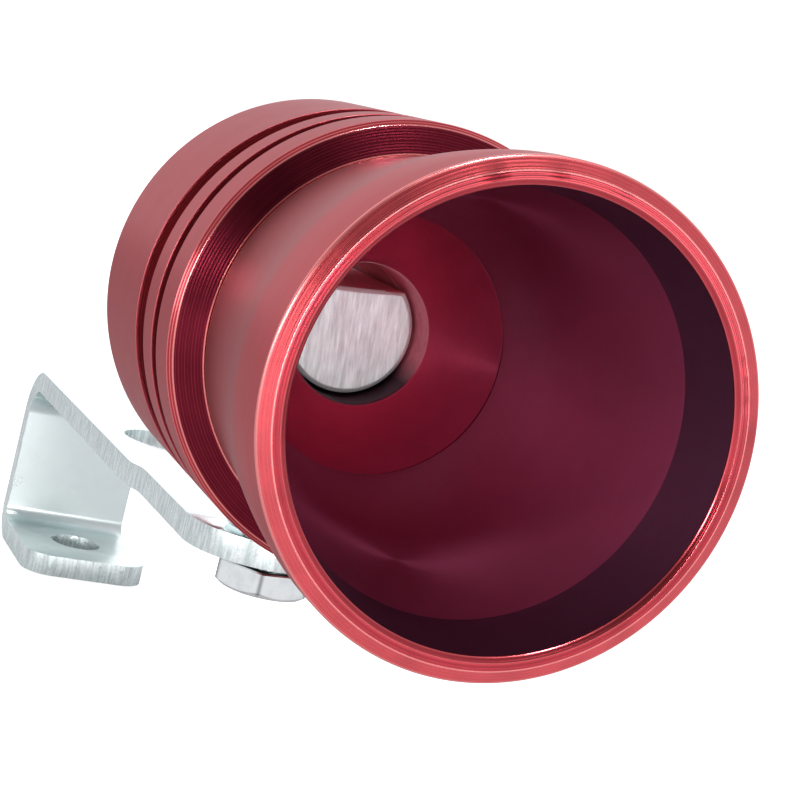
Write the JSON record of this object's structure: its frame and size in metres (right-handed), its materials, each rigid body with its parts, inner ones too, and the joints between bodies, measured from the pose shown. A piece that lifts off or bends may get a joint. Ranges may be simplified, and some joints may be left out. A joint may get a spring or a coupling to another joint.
{
  "type": "exhaust whistle",
  "caption": "Flared horn on a grooved round barrel with a whistle tube behind it, bolted to a bent strip clip that hooks over the lip of a pipe.",
  "frame": {"origin": "on the underside of the clip's strip, 69.2 mm behind the bolt's axis, where the wall of the pipe bears", "axes": "+Y along the clip from the bolt to the web, +Z from the pipe wall up to the whistle, +X to the right seen from the mouth's side"},
  "size_m": [0.0477, 0.143, 0.0738],
  "materials": {
    "red_anodised": "red anodised, satin lands and bright turned faces",
    "bare_aluminium": "bare, brushed",
    "zinc_plate": "bright zinc plate",
    "bolt_steel": "bright zinc plate"
  },
  "bodies": {
    "clip": {"clip_bracket": "zinc_plate", "spring_washer": "zinc_plate"},
    "whistle": {"horn_bell": "red_anodised", "barrel": "red_anodised", "resonator_tube": "bare_aluminium", "fipple_block": "bare_aluminium", "end_cap": "red_anodised", "flat_washer": "zinc_plate"},
    "bolt": {"mounting_bolt": "bolt_steel"}
  },
  "joints": [
    {"name": "bracket_swivel", "type": "hinge", "parent": "clip", "child": "whistle", "pos_m": [0, -0.0692, 0.0283], "axis": [0, 0, 1], "range_deg": [-90, 90]},
    {"name": "bolt_turn", "type": "hinge", "parent": "whistle", "child": "bolt", "pos_m": [0, -0.0692, 0], "axis": [0, 0, -1], "range_deg": [0, 90]}
  ]
}
